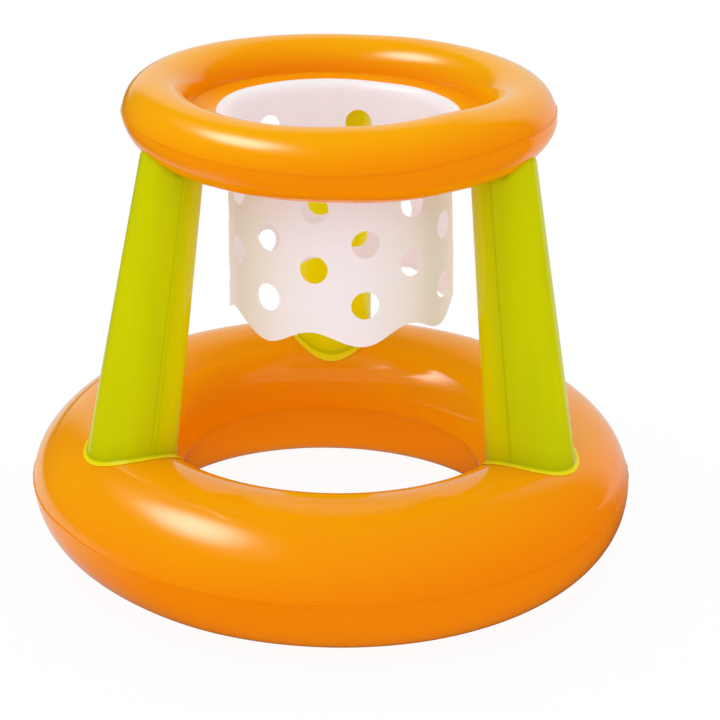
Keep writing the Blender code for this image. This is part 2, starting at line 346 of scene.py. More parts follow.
def filmMaterial(name, group, look):
    made = bpy.data.materials.new(name)
    made.use_nodes = True
    tree = made.node_tree
    shader = tree.nodes["Principled BSDF"]
    place = addNode(tree, "ShaderNodeTexCoord").outputs["Object"]
    drawn = addNode(tree, "ShaderNodeMapping", None, {"Vector": place, "Scale": look["stretch"]})
    surface = addNode(tree, "ShaderNodeGroup", {"node_tree": group},
                      {"Vector": drawn.outputs["Vector"], "Cloud Size": look["cloudSize"],
                       "Grain Size": look["grainSize"]}).outputs
    # Painted light and shade: the base colour runs from the look's low to its high as the normal turns
    # towards the look's towards direction
    paintedLightFacing = dotNode(tree, addNode(tree, "ShaderNodeNewGeometry").outputs["Normal"], look["towards"])
    colour = mixColours(tree, mapNode(tree, paintedLightFacing, *look["turn"], 0.0, 1.0), look["low"], look["high"])
    clouded = mathNode(tree, "MULTIPLY", surface["Cloud"], look["cloudShare"])
    colour = mixColours(tree, clouded, colour, look["cloudColour"])
    welded = mathNode(tree, "MULTIPLY", maskNode(tree, "weld"), look["weldShare"])
    colour = mixColours(tree, welded, colour, look["weldColour"])
    # Painted bounce light and painted shade, from the legs' masks
    for mask in ("paintedBounce", "paintedShade"):
        if f"{mask}Colour" in look:
            colour = mixColours(tree, maskNode(tree, mask), colour, look[f"{mask}Colour"])
    link(tree, colour, shader.inputs["Base Color"])
    rough = mapNode(tree, surface["Cloud"], 0.0, 1.0, *look["roughness"])
    scuffed = mathNode(tree, "ADD", rough, mathNode(tree, "MULTIPLY", surface["Scuff"], grain["scuffDepth"]))
    link(tree, scuffed, shader.inputs["Roughness"])
    relief = mathNode(tree, "MULTIPLY", surface["Grain"], look["grainHeight"])
    if "puckers" in look:
        # Fine gathers that run across the seam, by bearing round the float
        spot = addNode(tree, "ShaderNodeSeparateXYZ", None, {"Vector": place}).outputs
        bearing = mathNode(tree, "ARCTAN2", spot["Y"], spot["X"])
        strip = addNode(tree, "ShaderNodeCombineXYZ", None,
                        {"X": mathNode(tree, "MULTIPLY", bearing, look["puckers"]),
                         "Z": mathNode(tree, "MULTIPLY", spot["Z"], grain["gatherStretch"])})
        gathers = noiseNode(tree, strip.outputs["Vector"], 1.0, *grain["gatherDetail"])
        relief = mathNode(tree, "ADD", relief, mathNode(tree, "MULTIPLY", gathers, maskNode(tree, "pucker")))
    bump = addNode(tree, "ShaderNodeBump", None, {"Strength": 1.0, "Distance": 0.001, "Height": relief})
    link(tree, bump.outputs["Normal"], shader.inputs["Normal"])
    shader.inputs["IOR"].default_value = grain["refraction"]
    shader.inputs["Specular IOR Level"].default_value = look["shine"]
    shader.inputs["Sheen Weight"].default_value = look["sheen"]
    shader.inputs["Sheen Roughness"].default_value = grain["sheenRoughness"]
    shader.inputs["Transmission Weight"].default_value = look["clear"]
    return made


# What most films share; each look below changes some of it
plainLook = {
    "towards": (0.0, 0.0, 1.0),  # painted light: the way in which the film is painted lightest, and how far round it fades to its painted shade
    "turn": (-0.8, 0.8),
    "stretch": (1.0, 1.0, 1.0),
    "grainSize": 900.0,
    "grainHeight": 0.020,
    "shine": 0.5,
    "sheen": 0.0,
    "clear": 0.0,
}

orangeLook = {
    **plainLook,
    "high": (0.905, 0.362, 0.0020),
    "low": (0.900, 0.224, 0.0008),
    # Painted light: lightest where the film faces up and to the upper left, the key lamp's side
    "towards": (-0.45, 0.12, 0.89),
    "turn": (-0.25, 1.00),
    "cloudColour": (0.895, 0.250, 0.0010),
    "cloudShare": 0.18,
    "cloudSize": 7.0,
    "weldColour": (0.930, 0.310, 0.0040),
    "weldShare": 0.60,
    "roughness": (0.055, 0.075),
    "puckers": 62.0,
}

filmLooks = {
    "orangeVinyl": orangeLook,
    # A lighter copy of the base ring's orange, painted light: the hoop ring sits higher and takes more light
    # from above
    "amberVinyl": {
        **orangeLook,
        "high": (0.905, 0.412, 0.0020),
        "low": (0.900, 0.258, 0.0008),
        "cloudColour": (0.895, 0.285, 0.0010),
    },
    "greenVinyl": {
        **plainLook,
        "high": (0.600, 0.602, 0.0008),
        "low": (0.560, 0.552, 0.0006),
        "turn": (-0.5, 0.5),
        "cloudColour": (0.470, 0.515, 0.0006),
        "cloudShare": 0.55,
        "cloudSize": 26.0,
        "weldColour": (0.880, 0.700, 0.0100),
        "weldShare": 0.9,
        "stretch": (1.0, 1.0, 0.10),  # the film is drawn out lengthwise, and its streaks with it
        "roughness": (0.060, 0.085),
        "paintedBounceColour": (0.850, 0.740, 0.0006),
        "paintedShadeColour": (0.300, 0.330, 0.0004),
        "shine": 0.20,
    },
    "milkyFilm": {
        **plainLook,
        "high": (0.950, 0.905, 0.950),
        "low": (0.940, 0.895, 0.940),
        "cloudColour": (0.925, 0.872, 0.905),
        "cloudShare": 0.50,
        "cloudSize": 18.0,
        "weldColour": (0.900, 0.885, 0.885),
        "weldShare": 0.6,
        "stretch": (1.0, 1.0, 0.15),
        "grainSize": 700.0,
        "roughness": (0.30, 0.40),
        "sheen": 0.95,
    },
    "clearMoulding": {
        **plainLook,
        "high": (0.820, 0.825, 0.800),
        "low": (0.800, 0.805, 0.780),
        "cloudColour": (0.840, 0.830, 0.770),
        "cloudShare": 0.2,
        "cloudSize": 60.0,
        "weldColour": (0.820, 0.820, 0.780),
        "weldShare": 1.0,
        "grainSize": 1500.0,
        "grainHeight": 0.016,
        "roughness": (0.14, 0.20),
        "clear": 0.35,
    },
}

filmGroup = buildFilmGroup()
materials = {name: filmMaterial(name, filmGroup, look) for name, look in filmLooks.items()}
print("stage: materials")


# Ring skins

# Each path is a list of (bearing in degrees from +X, value), smooth between its points
rings = {
    "base": {
        "skinMaterial": "orangeVinyl",
        "innerStack": film["stack"],
        "radius": 0.2515,
        "halfWidth": 0.0812,
        "halfHeight": 0.0806,
        "centre": 0.0806,
        "cusp": 0.0004,  # how far the seam pulls the film out
        "innerCusp": 0.0012,
        "gathers": 0.25,  # height of the fine gathers along the outer seam, in millimetres
        "gatherReach": 7.0,  # degrees round the tube
        "outerEdge": 0.3343,
        "innerEdge": 0.1680,
        "innerSteps": 3,
        "sections": 96,
        "columns": 480,
        "swell": ((-180, 0.0), (0, 0.0)),
        "heave": ((-180, 0.0), (0, 0.0)),
        "upperSlack": ((-140, 0.030), (-90, 0.038), (-45, 0.020), (0, 0.025), (25, 0.055), (60, 0.030),
                       (90, 0.022), (125, 0.040), (160, 0.085), (190, 0.050)),
        "lowerSlack": ((-170, 0.010), (-135, 0.028), (-110, 0.012), (-60, 0.0), (0, 0.0), (90, 0.0)),
        "seamPath": ((-162, 0.7), (-144, 2.7), (-120, -1.6), (-90, -0.5), (-30, 4.8), (-19, 9.0), (14, 6.0),
                     (90, 0.0), (160, 1.0)),
        "creases": [
            {"row": 67.5, "from": -143.0, "to": -107.0, "height": 0.0002,
             "path": ((-143, 66.0), (-130, 67.0), (-117, 65.5), (-107, 58.5))},
            {"row": 48.75, "from": -11.0, "to": 9.0, "height": 0.0002,
             "path": ((-11, 42.0), (-2.4, 47.8), (7.4, 49.7), (12, 50.0))},
        ],
    },
    "hoop": {
        # The hoop's film is painted lighter than the base ring's, for the light from above
        "skinMaterial": "amberVinyl",
        "innerStack": film["netStack"],
        "radius": 0.1940,
        "halfWidth": 0.0370,
        "halfHeight": 0.0380,
        "centre": 0.4960,
        "cusp": 0.0003,
        "innerCusp": 0.0006,
        "gathers": 0.35,
        "gatherReach": 14.0,
        "outerEdge": 0.2322,
        "innerEdge": 0.1300,
        "innerSteps": 9,
        "sections": 72,
        "columns": 360,
        "swell": ((-170, -0.03), (-112, -0.04), (-50, 0.05), (0, 0.0), (60, -0.035), (90, -0.08)),
        "heave": ((-170, 0.0), (-115, -0.0026), (-80, -0.0008), (-50, 0.0030), (-10, 0.0008), (90, 0.0)),
        "upperSlack": ((-180, 0.0), (0, 0.0)),
        "lowerSlack": ((-180, 0.085), (-152, 0.030), (-130, 0.018), (-100, 0.0), (-70, 0.020), (-40, 0.060),
                       (0, 0.120), (90, 0.030)),
        "seamPath": ((-146, 4.5), (-108, 1.5), (-93, -1.5), (-74, 2.5), (-57, 8.5), (-35, 15.0), (-12, 15.5),
                     (30, 8.0), (90, 0.0), (170, 2.0)),
        "creases": [],
    },
}

tube = {
    "innerFrom": (110.0, 175.0),  # degrees round the tube where its outer side gives way to its inner
    "slackFrom": (0.0, 0.7),  # of the sine of that angle
    "innerSlack": 0.3,  # the inner side's share of what the outer side shows
    "innerSwell": 0.4,
    "cuspReach": 3.0,
    "marginTurn": 0.2,  # degrees from a seam within which the film is its flat margin
    "closeReach": 2.3,
    "closeCuts": 3,
    "outerSteps": (0.4, 0.3, 0.3),  # shares of an outer margin
    "innerStep": 0.0005,  # the first step of an inner margin
    "weldFrom": 0.0004,  # how far in on it the weld shows fully, and how strongly before that
    "rootWeld": 0.6,
    "seamSlack": ((29, 0.4, 0.22), (47, 1.9, 0.16), (71, 4.4, 0.09)),
    "pucker": 0.00016,
    "puckerReach": 5.0,
    "puckerWaves": ((83, 0.9, 0.7), (131, 2.2, 0.5)),
    "flangeFrom": 0.1580,
    "flangeSpan": 0.028,
    "flangeWaves": ((3, 0.6, 0.00035), (7, 2.1, 0.00025), (11, 4.0, 0.00012)),
    "topRounds": 3,  # how often the angle under a point of the floor plan is worked out anew
    "leastSteep": 0.4,  # keeps a lift from growing without end at the tube's sides
    "halvings": 34,  # of the span that a height is looked for in
    "smoothing": 50.0,
}

# Degrees: how far a crease draws on the film, the rows it gathers and how near it gathers them
creaseForm = {
    "reach": 18.0,
    "steady": 4.0,
    "rows": 3.76,
    "half": 0.9,
    "squeeze": 0.24,
    "fade": (6.0, 4.0),
}


def tubeSize(ring, bearing, angle):
    # Half width, half height and middle of the tube; angle goes round it from its outermost line
    turned = wrapped(angle)
    outer = 1.0 - ease(abs(turned), *tube["innerFrom"])
    slack = alongPath(ring["upperSlack" if turned > 0 else "lowerSlack"], bearing)
    slack *= ease(abs(sin(radians(turned))), *tube["slackFrom"]) * fullFrom(tube["innerSlack"], outer)
    size = 1.0 + alongPath(ring["swell"], bearing) * fullFrom(tube["innerSwell"], outer) - slack
    heave = alongPath(ring["heave"], bearing) * outer
    return ring["halfWidth"] * size, ring["halfHeight"] * size, ring["centre"] + heave


def tubePoint(ring, bearing, angle, lift=0.0):
    # A point of a ring's tube, by degrees round the float and round the tube from its outermost line
    turn = radians(angle)
    off = abs(wrapped(angle))
    width, height, middle = tubeSize(ring, bearing, angle)
    nearSeam = min(off, 180.0 - off)
    cusp = ring["cusp" if off < 90.0 else "innerCusp"] * exp(-nearSeam / tube["cuspReach"])
    reach = ring["radius"] + (width + cusp + lift) * cos(turn)
    around = radians(bearing)
    return Vector((reach * cos(around), reach * sin(around), middle + (height + lift) * sin(turn)))


def topHeight(ring, across, deep, lift=0.0):
    # Height of the ring's upper skin over a point of the floor plan
    bearing = bearingOf(across, deep)
    span = hypot(across, deep) - ring["radius"]
    angle = 90.0
    for step in range(tube["topRounds"]):
        width, height, middle = tubeSize(ring, bearing, angle)
        reach = max(-1.0, min(1.0, span / width))
        angle = degrees(acos(reach))
    rise = sqrt(1.0 - reach * reach)
    steep = (rise / height) / hypot(reach / width, rise / height)
    return middle + height * rise + lift / max(steep, tube["leastSteep"])


def outsideTube(ring, point):
    # Distance from the ring's skin, negative inside it
    bearing = bearingOf(point.x, point.y)
    span = hypot(point.x, point.y) - ring["radius"]
    angle = degrees(atan2(point.z - ring["centre"], span))
    width, height, middle = tubeSize(ring, bearing, angle)
    return (hypot(span / width, (point.z - middle) / height) - 1.0) * width


def crossing(test, low, high):
    # The height at which the test turns from negative to positive
    for step in range(tube["halvings"]):
        middle = (low + high) / 2
        if test(middle) < 0:
            low = middle
        else:
            high = middle
    return (low + high) / 2


def creaseShift(ring, bearing, angle):
    # Draws three rows of the film onto each crease, and gives the crease's height there
    reach, rows, half = creaseForm["reach"], creaseForm["rows"], creaseForm["half"]
    before, after = creaseForm["fade"]
    moved = angle
    height = 0.0
    for crease in ring["creases"]:
        strength = ease(bearing, crease["from"] - before, crease["from"] + after)
        strength *= 1.0 - ease(bearing, crease["to"] - after, crease["to"] + before)
        away = angle - crease["row"]
        if strength <= 0.0 or abs(away) > reach:
            continue
        if abs(away) <= rows:
            squeezed = away * creaseForm["squeeze"]
        else:
            squeezed = copysign(half + (abs(away) - rows) * (reach - half) / (reach - rows), away)
        near = 1 - ease(abs(away), creaseForm["steady"], reach)
        middle = crease["row"] + (alongPath(crease["path"], bearing) - crease["row"]) * near
        moved += (middle + squeezed - angle) * strength
        height += crease["height"] * strength * max(0.0, 1.0 - abs(squeezed) / half)
    return moved, height


def flangeWave(bearing, reach):
    # The wide inner margin of the hoop isn't quite flat
    return ease(tube["flangeFrom"] - reach, 0.0, tube["flangeSpan"]) * ripple(bearing, tube["flangeWaves"])


def placeFilm(ring, side, mesh):
    # Puts the plain film on the tube, and gives its masks of welds and gathers
    weld = []
    gathered = []
    for vert in mesh.vertices:
        across, deep, high = vert.co
        bearing = bearingOf(across, deep)
        outwardShare = (hypot(across, deep) - ring["radius"]) / ring["halfWidth"]
        upShare = (high - ring["centre"]) / ring["halfHeight"]
        angle = abs(degrees(atan2(upShare, outwardShare)))
        margin = max(0.0, hypot(outwardShare, upShare) - 1.0) * ring["halfWidth"]
        onOuterMargin = angle < tube["marginTurn"]
        onInnerMargin = angle > 180.0 - tube["marginTurn"]
        seam = alongPath(ring["seamPath"], bearing) + ripple(bearing, tube["seamSlack"])
        lift = 0.0
        if side > 0 and not (onOuterMargin or onInnerMargin):
            angle, lift = creaseShift(ring, bearing, angle)
        pucker = tube["pucker"] * exp(-min(angle, 180.0 - angle) / tube["puckerReach"])
        lift += pucker * ripple(bearing, tube["puckerWaves"])
        filmAngle = side * angle + seam * (1 + cos(radians(angle))) / 2
        point = tubePoint(ring, bearing, filmAngle, lift)
        around = radians(bearing)
        outward = Vector((cos(around), sin(around), 0.0))
        if onOuterMargin:
            tilt = radians(seam)
            point += outward * (margin * cos(tilt)) + Vector((0, 0, margin * sin(tilt)))
            point += side * film["stack"] * (Vector((0, 0, cos(tilt))) - outward * sin(tilt))
            weld.append(1.0)
        elif onInnerMargin:
            point -= outward * margin
            point.z += side * ring["innerStack"] + flangeWave(bearing, hypot(point.x, point.y))
            weld.append(1.0 if margin > tube["weldFrom"] else tube["rootWeld"])
        else:
            weld.append(0.0)
        gathered.append(ring["gathers"] * exp(-angle / ring["gatherReach"]))
        vert.co = point
    mesh.update()
    return weld, gathered


# Where each ring's valve sits
valves = {
    "base": {
        "place": (0.167567, 0.279569, 0.111306),
        "along": (-0.857729, 0.514103, 0.0),
        "up": (-0.197577, -0.329638, 0.923202),
        "out": (0.474621, 0.791857, 0.384315),
    },
    "hoop": {
        "place": (0.099571, 0.201910, 0.515000),
        "along": (-0.896873, 0.442289, 0.0),
        "up": (-0.214149, -0.434250, 0.874967),
        "out": (0.386988, 0.784734, 0.484183),
    },
}

# How the film lies round a valve
seat = {
    "holeRadius": 0.0057,
    "drillSides": 48,
    "drillDepth": 0.02,
    "flatTo": 0.0075,
    "freeFrom": 0.0150,
    "weldAt": 0.0126,
    "weldWidth": 0.0011,
    "weldHeight": 0.00030,
    "reach": 0.020,
    "depth": 0.012,
    "fineReach": 0.0185,
    "fineCuts": 5,
}


def valvePlace(name):
    valve = valves[name]
    turn = Matrix((valve["along"], valve["up"], valve["out"])).transposed().to_4x4()
    return Matrix.Translation(valve["place"]) @ turn


def seatHeight(height, span):
    # The film is flat round the valve's hole, and the collar's weld shows through it as a low ring
    flat = 1.0 - ease(span, seat["flatTo"], seat["freeFrom"])
    return height * (1.0 - flat) + seat["weldHeight"] * hump(span - seat["weldAt"], seat["weldWidth"])


def seatForValve(name, mesh):
    middle = Vector(valves[name]["place"])
    out = Vector(valves[name]["out"])
    for vert in mesh.vertices:
        away = vert.co - middle
        height = away.dot(out)
        span = (away - out * height).length
        if span < seat["reach"] and abs(height) < seat["depth"]:
            vert.co += out * (seatHeight(height, span) - height)
    mesh.update()


def valveDrill(name):
    clearSelection()
    bpy.ops.mesh.primitive_cylinder_add(vertices=seat["drillSides"], radius=seat["holeRadius"],
                                        depth=seat["drillDepth"], location=(0.0, 0.0, 0.0))
    tool = nameActive("drill")
    tool.data.transform(valvePlace(name))
    return tool


def drawOut(piece, root, steps):
    # Draws one end of the half circle out into a flat margin
    pick(piece, "verts", lambda co: abs(co.x - root) < film["merge"])
    for step in steps:
        bpy.ops.mesh.extrude_vertices_move(TRANSFORM_OT_translate={"value": (step, 0.0, 0.0)})


def ringFilm(name, half, side):
    ring = rings[name]
    centre = Vector((ring["radius"], 0.0, ring["centre"]))
    upright = (pi / 2, 0.0, 0.0)
    piece = drawCircle(f"{name}_ring_{half}_film", ring["sections"], ring["halfWidth"], centre, upright)
    squash = ring["halfHeight"] / ring["halfWidth"]
    bpy.ops.transform.resize(value=(1.0, 1.0, squash), center_override=centre)
    pick(piece, "verts", lambda co: (co.z - centre.z) * side < -film["merge"])
    bpy.ops.mesh.delete(type="VERT")
    # Closer rows beside both seams
    near = tube["closeReach"] * pi * ring["halfWidth"] / ring["sections"]
    pick(piece, "edges", lambda co: abs(co.z - centre.z) < near)
    bpy.ops.mesh.subdivide(number_cuts=tube["closeCuts"])
    outerRoot = ring["radius"] + ring["halfWidth"]
    margin = ring["outerEdge"] - outerRoot - ring["cusp"]
    drawOut(piece, outerRoot, [share * margin for share in tube["outerSteps"]])
    innerRoot = ring["radius"] - ring["halfWidth"]
    first = tube["innerStep"]
    rest = (innerRoot - ring["innerCusp"] - ring["innerEdge"] - first) / ring["innerSteps"]
    drawOut(piece, innerRoot, [-first] + [-rest] * ring["innerSteps"])
    bpy.ops.mesh.select_all(action="SELECT")
    bpy.ops.mesh.spin(steps=ring["columns"], angle=2 * pi, center=(0.0, 0.0, 0.0), axis=(0.0, 0.0, 1.0))
    bpy.ops.mesh.select_all(action="SELECT")
    bpy.ops.mesh.remove_doubles(threshold=film["merge"])
    if side > 0:
        # A finer patch, so that the valve's weld shows
        middle = Vector(valves[name]["place"])
        pick(piece, "faces", lambda co: (co - middle).length < seat["fineReach"])
        bpy.ops.mesh.subdivide(number_cuts=seat["fineCuts"])
    objectMode()
    weld, gathered = placeFilm(ring, side, piece.data)
    if side > 0:
        seatForValve(name, piece.data)
    writeAttribute(piece, "weld", weld)
    writeAttribute(piece, "pucker", gathered)
    outwards(piece, (ring["radius"], 0.0, ring["centre"] + side * ring["halfHeight"]), (0.0, 0.0, side))
    thicken(piece, film["thickness"])
    if side > 0:
        punch(piece, valveDrill(name))
    smooth(piece, tube["smoothing"])
    stand(piece, "float", "orange_film", materials[ring["skinMaterial"]], f"{name}_ring_{half}_skin")


for name in rings:
    ringFilm(name, "upper", 1)
    ringFilm(name, "lower", -1)
print("stage: rings")


# Legs

legs = {
    "left": {"bearing": 209.2, "seamAt": 91.0, "topAt": 0.1932, "topRadius": 0.0334, "paintedBounceShare": 0.55},
    "right": {"bearing": 331.5, "seamAt": -86.0, "topAt": 0.1946, "topRadius": 0.0345, "paintedBounceShare": 0.45},
    "rear": {"bearing": 91.6, "seamAt": 0.0, "topAt": 0.1946, "topRadius": 0.0405, "paintedBounceShare": 1.0},
}

legForm = {
    "footAt": 0.2430,
    "footHeight": 0.150,
    "topHeight": 0.470,
    "footRadius": 0.0477,
    "columns": 112,
    "lipRows": [(0.0525, 0.0007), (0.0522, 0.0013), (0.0508, 0.0016), (0.0497, 0.0016)],  # radius, lift
    "filletRows": 7,
    "filletRise": 0.0065,
    "footGap": 0.0012,  # from the base ring to the wall's foot, where the fillet starts
    "footSearch": (-0.03, 0.03),  # heights on the leg's axis between which that foot is looked for
    "topSearch": (0.20, 0.03),  # the same for its top: from there to this far past the axis's end
    "wallRows": 30,
    "pinchRows": 8,
    "pinchRise": 0.0060,
    "pinchDepth": 0.0013,
    "topGap": 0.0002,
    "lapWidth": 0.0030,
    "lapHeight": 0.00022,
    "lapEdge": 0.00035,
    "midRadius": 0.041,  # halfway up, where the lap has its width
    "rootWeld": 0.7,
    # Painted shade: how dark each row above the lip is painted, for the shade in the fillet's groove
    "paintedGrooveShade": {6: 0.30, 7: 0.48, 8: 0.48, 9: 0.36, 10: 0.22, 11: 0.08},
    "paintedBounceFrom": (0.42, 0.80),
    "edgeShade": 0.45,
    "pinchWaves": ((5, 0.7, 0.26), (13, 2.9, 0.20)),
    "thickness": 0.0004,
    "probeAt": 0.15,  # a height on the wall where its outside is known
    "smoothing": 35.0,
}

footDisc = {
    "radius": 0.0524,
    "sides": 96,
    "rings": 11,
    "lift": 0.0006,
}


def legAxes(side):
    turn = radians(legs[side]["bearing"])
    out = Vector((cos(turn), sin(turn), 0.0))
    foot = out * legForm["footAt"] + Vector((0.0, 0.0, legForm["footHeight"]))
    top = out * legs[side]["topAt"] + Vector((0.0, 0.0, legForm["topHeight"]))
    along = (top - foot).normalized()
    across = along.cross(out).normalized()
    return foot, along, across, across.cross(along), (top - foot).length, legs[side]["topRadius"]


def wallPoint(axes, angle, height, lift=0.0):
    foot, along, across, outward, length, topRadius = axes
    radius = legForm["footRadius"] + (topRadius - legForm["footRadius"]) * height / length + lift
    turn = radians(angle)
    return foot + along * height + (outward * cos(turn) + across * sin(turn)) * radius


def legRows(axes, angle, raised):
    # Points of one column, from the lip's edge up to the hoop ring
    base, hoop = rings["base"], rings["hoop"]
    foot, _, across, outward, length, _ = axes
    turn = radians(angle)
    flatOut = Vector((outward.x, outward.y, 0.0)).normalized()
    flatAcross = Vector((across.x, across.y, 0.0)).normalized()
    plan = flatOut * cos(turn) + flatAcross * sin(turn)
    lip = []
    for radius, lift in legForm["lipRows"]:
        spot = Vector((foot.x, foot.y, 0.0)) + plan * radius
        spot.z = topHeight(base, spot.x, spot.y, lift)
        lip.append(spot)
    lap = raised * legForm["lapHeight"]

    def above(height):
        return outsideTube(base, wallPoint(axes, angle, height)) - legForm["footGap"]

    def inside(height):
        return legForm["topGap"] - outsideTube(hoop, wallPoint(axes, angle, height))

    low = crossing(above, *legForm["footSearch"])
    start = low + legForm["filletRise"]
    corner = wallPoint(axes, angle, low, lap)
    rise = wallPoint(axes, angle, start, lap)
    fillet = []
    for step in range(1, legForm["filletRows"] + 1):
        share = step / legForm["filletRows"]
        fillet.append(lip[-1] * (1 - share) ** 2 + corner * 2 * share * (1 - share) + rise * share ** 2)
    searchFrom, past = legForm["topSearch"]
    end = crossing(inside, searchFrom, length + past)
    pinchFrom = end - legForm["pinchRise"]
    wall = []
    for step in range(1, legForm["wallRows"] + 1):
        wall.append(wallPoint(axes, angle, start + (pinchFrom - start) * step / legForm["wallRows"], lap))
    pinch = []
    for step in range(1, legForm["pinchRows"] + 1):
        share = step / legForm["pinchRows"]
        lift = lap * (1 - share) - legForm["pinchDepth"] * share * share
        pinch.append(wallPoint(axes, angle, pinchFrom + (end - pinchFrom) * share, lift))
    return lip + fillet + wall + pinch


def legSleeve(side):
    leg = legs[side]
    axes = legAxes(side)
    edge = degrees(legForm["lapEdge"] / legForm["midRadius"])
    lap = degrees(legForm["lapWidth"] / legForm["midRadius"])
    angles, raised = lappedColumns(legForm["columns"], leg["seamAt"], edge, lap, 0)
    points = [legRows(axes, angle, up) for angle, up in zip(angles, raised)]
    rows = len(points[0])
    lipRows = len(legForm["lipRows"])
    piece, places = rolledSheet(f"{side}_leg_sleeve_film", legForm["columns"], rows)
    masks = {"weld": [], "paintedShade": [], "paintedBounce": []}
    for vert, (column, row) in zip(piece.data.vertices, places):
        vert.co = points[column][row]
        masks["weld"].append(1.0 if row < lipRows else legForm["rootWeld"] if row == lipRows else 0.0)
        # Painted shade: a dark line along the lap's edge, and dark grooves above the lip
        onEdge = legForm["edgeShade"] if column == 0 else 0.0
        grooveShade = legForm["paintedGrooveShade"].get(row, 0.0)
        # Painted shade: small dark pinches where the film is welded under the hoop ring
        pinchShade = max(0.0, ripple(round(angles[column], 2), legForm["pinchWaves"]))
        pinchShade *= ease(row, rows - legForm["pinchRows"] - 3, rows - 2)
        masks["paintedShade"].append(0.0 if row < lipRows else max(onEdge, grooveShade, pinchShade))
        # Painted bounce light: the film is painted warmer where it looks in towards the orange rings
        inwards = (1 - cos(radians(angles[column]))) / 2
        masks["paintedBounce"].append(0.0 if row < lipRows else leg["paintedBounceShare"] * ease(inwards, *legForm["paintedBounceFrom"]))
    piece.data.update()
    for mask, values in masks.items():
        writeAttribute(piece, mask, values)
    probe = wallPoint(axes, 0.0, legForm["probeAt"])
    outwards(piece, probe, probe - wallPoint(axes, 180.0, legForm["probeAt"]))
    thicken(piece, legForm["thickness"])
    smooth(piece, legForm["smoothing"])
    stand(piece, "float", "green_film", materials["greenVinyl"], f"{side}_leg_sleeve")


def footPatch(side):
    base = rings["base"]
    foot = legAxes(side)[0]
    middle = Vector((foot.x, foot.y, 0.0))
    piece = drawCircle(f"{side}_leg_foot_patch_film", footDisc["sides"], footDisc["radius"], middle)
    for left in range(footDisc["rings"], 0, -1):
        drawOn(left / (left + 1), middle)
    bpy.ops.mesh.edge_face_add()
    bpy.ops.mesh.poke()
    objectMode()
    for vert in piece.data.vertices:
        vert.co.z = topHeight(base, vert.co.x, vert.co.y, footDisc["lift"])
    piece.data.update()
    outwards(piece, (foot.x, foot.y, base["centre"] + base["halfHeight"]), (0.0, 0.0, 1.0))
    thicken(piece, film["thickness"])
    smooth(piece)
    stand(piece, "float", "green_film", materials["greenVinyl"], f"{side}_leg_foot_patch")


for side in legs:
    legSleeve(side)
    footPatch(side)
print("stage: legs")


# Valves: each is modelled upright at the origin, the film's outside at height 0, then set in place

valveForm = {
    "sides": 64,
    "collarRadii": [0.0060, 0.0062, 0.0070, 0.0085, 0.0100, 0.0115, 0.0128, 0.0136, 0.0140],
    "collarSides": 96,
    "collarThickness": 0.0008,
    "collarRounding": (0.0002, 50.0),  # width, and the sharpest angle left alone
    "collarGap": 0.00006,
    "collarProbe": 0.008,
    # (radius, height) points round each wall
    "stem": [(0.0053, -0.0130), (0.0056, -0.0128), (0.0056, -0.0122), (0.0054, -0.0120), (0.0051, -0.0118),
             (0.0050, -0.0112), (0.0050, -0.0070), (0.0051, -0.0067), (0.0051, -0.0061), (0.0050, -0.0058),
             (0.0050, 0.0002), (0.0052, 0.0006), (0.0059, 0.0006), (0.0062, 0.0008), (0.0062, 0.0014),
             (0.0060, 0.0016), (0.0042, 0.0016), (0.0037, 0.0014), (0.0034, 0.0010), (0.0033, 0.0004),
             (0.0033, -0.0124), (0.0034, -0.0128), (0.0037, -0.0130)],
    "plug": [(0.0016, -0.0061), (0.0021, -0.0060), (0.0025, -0.0056), (0.0029, -0.0050), (0.0029, -0.0040),
             (0.0027, -0.0036), (0.0027, -0.0020), (0.0029, -0.0016), (0.0029, 0.0014), (0.0031, 0.0018),
             (0.0046, 0.0019), (0.0050, 0.0020), (0.0052, 0.0023), (0.0052, 0.0030), (0.0050, 0.0034),
             (0.0046, 0.0035), (0.0038, 0.0035), (0.0034, 0.0034), (0.0031, 0.0032), (0.0012, 0.0032)],
    "flap": [(0.0030, -0.0138), (0.0041, -0.0138), (0.0044, -0.0137), (0.0045, -0.01355), (0.0044, -0.0134),
             (0.0041, -0.0133), (0.0030, -0.0133)],
    "tab": {"from": (0.0034, 0.0045), "half": (0.0008, 0.0024), "reach": 0.0002},
    "strapWidth": 0.0040,
    "strapThickness": 0.0008,
    "strapRounding": (0.00018, 60.0),
    "strapLow": 0.0011,
    "strapHigh": 0.0027,
    "strapReach": 0.0120,
    "strapFrom": 0.0052,
    "strapTo": 0.0046,
    "strapWaist": 0.22,  # how much narrower it is at its bend
    "strapInset": 0.001,  # from its root and from its bend to where it tapers
    "strapBend": (0.0015, 0.0023),  # heights between which it unfolds as the plug comes out
    "bendSteps": 18,
    "straightSteps": 6,
}


def lathed(name, profile, solid):
    # A circle drawn out loop by loop: a solid is capped at both ends, a sleeve is bridged through its bore
    radius, height = profile[0]
    piece = drawCircle(name, valveForm["sides"], radius, (0.0, 0.0, height), filled=solid)
    for newRadius, newHeight in profile[1:]:
        drawOn(newRadius / radius, (0.0, 0.0, newHeight), newHeight - height)
        radius, height = newRadius, newHeight
    if not solid:
        bpy.ops.mesh.select_all(action="DESELECT")
        bpy.ops.mesh.select_mode(type="EDGE")
        bpy.ops.mesh.select_non_manifold()
        bpy.ops.mesh.bridge_edge_loops()
    bpy.ops.mesh.select_all(action="SELECT")
    bpy.ops.mesh.normals_make_consistent(inside=False)
    objectMode()
    return piece


def setInPlace(piece, name):
    piece.data.transform(valvePlace(name))
    piece.data.update()
    writeAttribute(piece, "weld", [0.0] * len(piece.data.vertices))
    smooth(piece)


def skinOver(name, across, deep):
    # Height of the dressed film over a point of the valve's own plane
    place = valvePlace(name)

    def outside(height):
        return outsideTube(rings[name], place @ Vector((across, deep, height)))

    return seatHeight(crossing(outside, -seat["depth"], seat["depth"]), hypot(across, deep))


